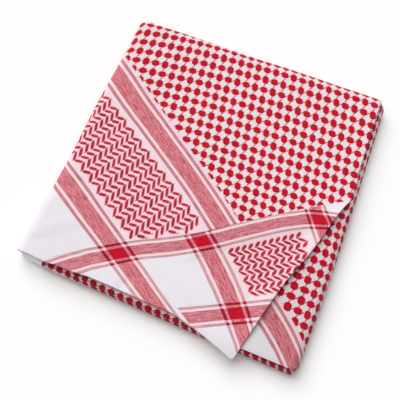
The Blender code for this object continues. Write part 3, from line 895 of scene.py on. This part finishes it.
def cloth_material(name, check=None, herring=None, along=((0.824, -0.566), (0.83, 0.56)),
                   ground=WHITE, painted_shade_dim=1.0, plain_with_painted_shade=False, pale=0.0):
    mat = bpy.data.materials.new(name)
    mat.use_nodes = True
    tree = mat.node_tree
    net = Net(tree)
    shader = tree.nodes["Principled BSDF"]
    wa, wb, we = net.attr("bands")
    wc, wd, _ = net.attr("cross")
    i, j, zone = net.attr("chk")
    ta, tb, _ = net.attr("twl")
    x, y, _ = net.attr("cloth")

    def limit(w):
        return net.math("MINIMUM", net.math("MAXIMUM", w, -2.4), 2.4)

    # threads: distance across each of the two sets, and along them
    (ax, ay), (bx, by) = along
    s1, s2 = x * ax + y * ay, x * bx + y * by
    t1, t2 = x * -ay + y * ax, x * -by + y * bx
    w1 = limit(wa) + limit(wb) + limit(we)
    w2 = limit(wc) + limit(wd)
    streak1 = net.noise(net.join(s1 * 0.085, w1 * 4.6, 0.0), 1.0, 3.0, 0.75)
    streak2 = net.noise(net.join(s2 * 0.085, w2 * 3.6, 7.0), 1.0, 3.0, 0.75)
    grey1 = net.noise(net.join(s1 * 0.04, w1 * 3.4, 21.0), 1.0, 2.0, 0.7)
    grey2 = net.noise(net.join(s2 * 0.04, w2 * 2.8, 27.0), 1.0, 2.0, 0.7)
    fleck = net.noise(net.join(s1 * 0.9, t1 * 0.9, 3.0), 1.0, 1.0, 0.6)
    mottle = net.smooth(net.noise(net.join(s1 * 0.62, t1 * 0.62, 9.0), 1.0, 2.0, 0.7), 0.34, 0.66)
    cloud = net.noise(net.join(x * 0.02, y * 0.02, 5.0), 1.0, 2.0, 0.5)

    thick1, fine1, space1 = [], [], []
    for w in (wa, wb, we):
        a, b, c = stripe(net, w)
        thick1.append(a)
        fine1.append(b)
        space1.append(c)
    thick2, fine2, space2 = [], [], []
    for w in (wc, wd):
        a, b, c = stripe(net, w, 1.43, 1.90)
        if w is wd:
            # this stripe begins a little way off the one that it comes up to
            begun = net.smooth(wb, 2.25, 2.5)
            a, b, c = a * begun, b * begun, c * begun
        thick2.append(a)
        fine2.append(b)
        space2.append(c)
    thick1, fine1, space1 = net.biggest(*thick1), net.biggest(*fine1), net.biggest(*space1)
    thick2, fine2, space2 = net.biggest(*thick2), net.biggest(*fine2), net.biggest(*space2)
    r1, r2 = net.biggest(thick1, fine1), net.biggest(thick2, fine2)

    # weave: which thread set lies on top, cell by cell
    pitch = 0.8
    wave = (net.math("SINE", t1 * (math.pi / pitch)) * net.math("SINE", t2 * (math.pi / pitch)))

    tint = net.mix(net.smooth(cloud, 0.35, 0.65), ground, (ground[0] * 0.975, ground[1] * 0.965, ground[2] * 0.975, 1.0))
    tint = net.mix(mottle * 0.22, tint, (ground[0] * 0.88, ground[1] * 0.87, ground[2] * 0.88, 1.0))
    gap_mask = net.biggest(space1 * (1.0 - r2), space2 * (1.0 - r1))
    colour = net.mix(gap_mask, tint, net.mix(mottle, WHITE_GAP, linear(238, 206, 206)))
    # one set dyed: pink, streaked along that set; both dyed: full red
    k1 = net.smooth(streak1 + (mottle - 0.5) * 0.16, 0.30, 0.70)
    k2 = net.smooth(streak2 + (mottle - 0.5) * 0.16, 0.30, 0.70)
    pink1 = net.mix(k1, linear(230, 150, 156), linear(184, 70, 92))
    pink2 = net.mix(k2, linear(226, 150, 158), linear(180, 78, 98))
    pink1 = net.mix(net.smooth(grey1, 0.52, 0.72) * 0.6, pink1, linear(186, 134, 138))
    pink2 = net.mix(net.smooth(grey2, 0.52, 0.72) * 0.6, pink2, linear(186, 138, 142))
    line1 = net.mix(net.smooth(streak1, 0.35, 0.65), PINK_LINE, PINK_LINE_DEEP)
    if pale:
        line1 = net.mix(pale, line1, WHITE)
    line2 = net.mix(net.smooth(streak2, 0.35, 0.65), linear(222, 170, 180), linear(192, 132, 148))
    colour = net.mix(thick1, colour, pink1)
    colour = net.mix(fine1, colour, line1)
    colour = net.mix(thick2, colour, pink2)
    colour = net.mix(fine2, colour, line2)
    deepen = net.biggest(fine1 * r2, fine2 * r1)
    full = net.mix(k2 * 0.35 + k1 * 0.35 + deepen * 0.45 + (mottle - 0.5) * 0.6, linear(217, 9, 44), linear(142, 14, 38))
    colour = net.mix(r1 * r2, colour, full)

    relief = None
    if check:
        blob, tie_v, tie_h, hollow, (field, near), core_of, halo, vary = checks(net, i, j, zone, **check)
        if plain_with_painted_shade:
            field = near
            colour = net.mix(1.0, colour, net.mix(field, PALE, BEIGE))
            colour = net.mix(hollow * 0.4, colour, LILAC)
        else:
            colour = net.mix(field, colour, net.mix(mottle, VEIL, VEIL_DEEP))
            colour = net.mix(near, colour, net.mix(mottle, CREAM, BLUSH))
            colour = net.mix(halo * field * net.smooth(fleck, 0.3, 0.6) * 0.8, colour, BLUSH)
            colour = net.mix(hollow, colour, LILAC)
        colour = net.mix(tie_v * 0.8, colour, BROWN)
        colour = net.mix(tie_h * 0.8, colour, ROSE)
        shade = (mottle - 0.5) * 0.9 + (vary - 0.5) * 0.15 - core_of * 0.5 + 0.8
        # on the front roll the reds are darker: painted shade for the roll's shaded side
        if plain_with_painted_shade:
            red = net.mix(shade, linear(184, 12, 42), linear(118, 10, 34))
        else:
            red = net.mix(shade, linear(220, 10, 40), linear(140, 8, 38))
        colour = net.mix(blob, colour, red)
        relief = blob
    if herring:
        spec, zones = herring
        listed = []
        for key, sign, off, scale, normal, margin in zones:
            w = {"a": wa, "2": wb, "e": we, "c": wc, "d": wd}[key]
            listed.append(((w * sign - off) * scale, normal, margin))
        mark, tone, (inside, field), halo, ticks, deep = twill(net, ta, tb, spec, listed)
        colour = net.mix(field, colour, net.mix(mottle, VEIL, VEIL_DEEP))
        colour = net.mix(inside * 0.9, colour, net.mix(mottle, CREAM, BLUSH))
        colour = net.mix(halo * 0.85, colour, SKIN)
        red = net.mix(deep * 0.45 + (mottle - 0.5) * 0.7 + 0.12, RED_TWILL, RED_DEEP)
        red = net.mix(tone * 0.45, red, TICK)
        colour = net.mix(mark, colour, red)
        colour = net.mix(ticks * 0.85, colour, TICK)
        relief = mark if relief is None else net.biggest(relief, mark)

    # the fine grain of the threads, light over dark
    grain = wave * 0.5 + 0.5
    colour = net.mix(grain * 0.10 + (1.0 - net.smooth(fleck, 0.2, 0.8)) * 0.06, colour, (0.42, 0.36, 0.40, 1.0), "MULTIPLY")
    # painted shade: darkens the whole cloth by this factor, standing in for the shade it lies in
    if painted_shade_dim != 1.0:
        colour = net.mix(1.0 - painted_shade_dim, colour, (0.0, 0.0, 0.0, 1.0))
    tree.links.new(colour.s, shader.inputs["Base Color"])
    shader.inputs["Roughness"].default_value = 0.86
    shader.inputs["Specular IOR Level"].default_value = 0.12
    shader.inputs["Sheen Weight"].default_value = 0.05
    shader.inputs["Sheen Roughness"].default_value = 0.5

    height = wave * 0.5 + fleck * 0.6
    if relief is not None:
        height = height + relief * 1.1
    bump = tree.nodes.new("ShaderNodeBump")
    bump.inputs["Strength"].default_value = 0.55
    bump.inputs["Distance"].default_value = 0.00012
    net.link(height, bump.inputs["Height"])
    tree.links.new(bump.outputs[0], shader.inputs["Normal"])
    return mat


N_A = (0.566, 0.824)
check_top = dict(ei=(11.52, 0.60), ej=(2.63, -12.17), normal=N_A)
check_under = dict(ei=(11.0, 0.0), ej=(0.0, -12.0), normal=(0.66, 0.75))
check_wrap = dict(ei=(11.0, 0.0), ej=(0.0, 11.9), normal=(1.0, 0.0), lying=(4.0, 3.5), standing=(3.8, 3.6))
check_core = dict(ei=(10.9, 0.0), ej=(0.0, 11.6), normal=(0.0, 0.0))

herring_top = (
    dict(V=(14.45, -9.3), W=(-3.75, -6.65),
         flat=(8.6, 0.85), flat_mid=(0.256, -0.614), flat_k=-1, flat_size=(4.9, 1.8, 5.0),
         steep=(3.15, -10.9), steep_mid=(0.756, -0.614), steep_k=1, steep_size=(5.7, 1.75, 5.0),
         tick=(6.4, 0.98, 1.35, 0.55)),
    [("a", -1, 1.76, 8.6, (-0.566, -0.824), (6.5, 6.5)),
     ("2", 1, 1.76, 8.6, (0.51, 0.86), (6.0, 6.0)),
     ("c", 1, 1.85, 6.1, (-0.55, 0.835), (2.8, 3.4))],
)
herring_flap = (
    dict(V=(9.5, -7.76), W=(6.56, 4.45),
         flat=(9.25, 0.1), flat_mid=(0.233, 0.44), flat_k=1, flat_size=(5.1, 1.55, 3.0),
         steep=(-2.2, -7.2), steep_mid=(0.733, 0.44), steep_k=-1, steep_size=(4.2, 1.9, 2.8),
         tick=(5.8, 0.98, 1.15, 0.5)),
    [("a", 1, 1.76, 8.3, (0.737, 0.676), (4.5, 4.5)),
     ("c", -1, 1.85, 5.7, (0.591, -0.807), (7.0, 3.5)),
     ("d", 1, 1.85, 6.1, (-0.46, 0.888), (6.0, 6.0)),
     ("e", -1, 1.76, 6.9, (-0.855, -0.518), (9.0, 9.0))],
)

# ------------------------------------------------------------ build
core = build_core()
wrap = build_wrap()
under = build_under()
top = build_top()
flap = build_flap()

core.data.materials.append(cloth_material("hidden_plies", check=check_core))
# front roll: a plain ground, and reds darkened as painted shade
wrap.data.materials.append(cloth_material("wrap_cloth", check=check_wrap, plain_with_painted_shade=True))
# the under cloth lies lower, beside the flap's edge; painted shade darkens it here
under.data.materials.append(cloth_material("under_cloth", check=check_under, along=((0.75, -0.66), (0.66, 0.75)), painted_shade_dim=0.86))
top.data.materials.append(cloth_material("top_cloth", check=check_top, herring=herring_top))
flap.data.materials.append(cloth_material("flap_cloth", herring=herring_flap, along=((0.70, -0.714), (0.82, 0.57)), pale=0.2))

for obj, node, flat in (
    (core, "fold_core", (0.337, 0.360)),
    (wrap, "front_wrap", (0.327, 0.693)),
    (under, "under_layer", (0.346, 0.353)),
    (top, "top_layer", (0.336, 0.352)),
    (flap, "corner_flap", (0.292, 0.214)),
):
    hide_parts(node)
    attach(obj, "root")

# ------------------------------------------------------------ table, light, camera
scene = bpy.context.scene
scene.view_settings.view_transform = "Standard"

mesh = bpy.data.meshes.new("table_top")
mesh.from_pydata([(-6, -6, -0.0002), (6, -6, -0.0002), (6, 6, -0.0002), (-6, 6, -0.0002)], [], [(0, 1, 2, 3)])
floor = bpy.data.objects.new("table_top", mesh)
scene.collection.objects.link(floor)
mat = bpy.data.materials.new("table_top")
mat.use_nodes = True
bsdf = mat.node_tree.nodes["Principled BSDF"]
bsdf.inputs["Base Color"].default_value = (0.945, 0.945, 0.945, 1)
bsdf.inputs["Roughness"].default_value = 0.9
bsdf.inputs["Specular IOR Level"].default_value = 0.1
mesh.materials.append(mat)

world = bpy.data.worlds.new("studio")
scene.world = world
world.use_nodes = True
world.node_tree.nodes["Background"].inputs[0].default_value = (0.985, 0.99, 1.0, 1)
world.node_tree.nodes["Background"].inputs[1].default_value = 0.33

lamp = bpy.data.lights.new("key", "SUN")
lamp.energy = 2.86
lamp.angle = math.radians(58)
lamp.color = (1.0, 0.995, 0.985)
key = bpy.data.objects.new("key", lamp)
scene.collection.objects.link(key)
away = np.array([-0.48, 0.42, 0.84])
away /= np.linalg.norm(away)
side = np.cross([0.0, 0.0, 1.0], away)
side /= np.linalg.norm(side)
rise = np.cross(away, side)
key.matrix_world = Matrix([(side[k], rise[k], away[k], 0.0) for k in range(3)] + [(0, 0, 0, 1)])

cam = bpy.data.cameras.new("camera")
cam.lens = 42.3
cam.sensor_width = 36
cam.sensor_fit = "HORIZONTAL"
cam.clip_start = 0.01
camera = bpy.data.objects.new("camera", cam)
scene.collection.objects.link(camera)
right = (0.925584, 0.378488, 0.006375)
up = (-0.356637, 0.866254, 0.349877)
back = (0.126902, -0.326114, 0.936774)
at = (0.070797, -0.208660, 0.527391)
camera.matrix_world = Matrix([(right[k], up[k], back[k], at[k]) for k in range(3)] + [(0, 0, 0, 1)])
scene.camera = camera
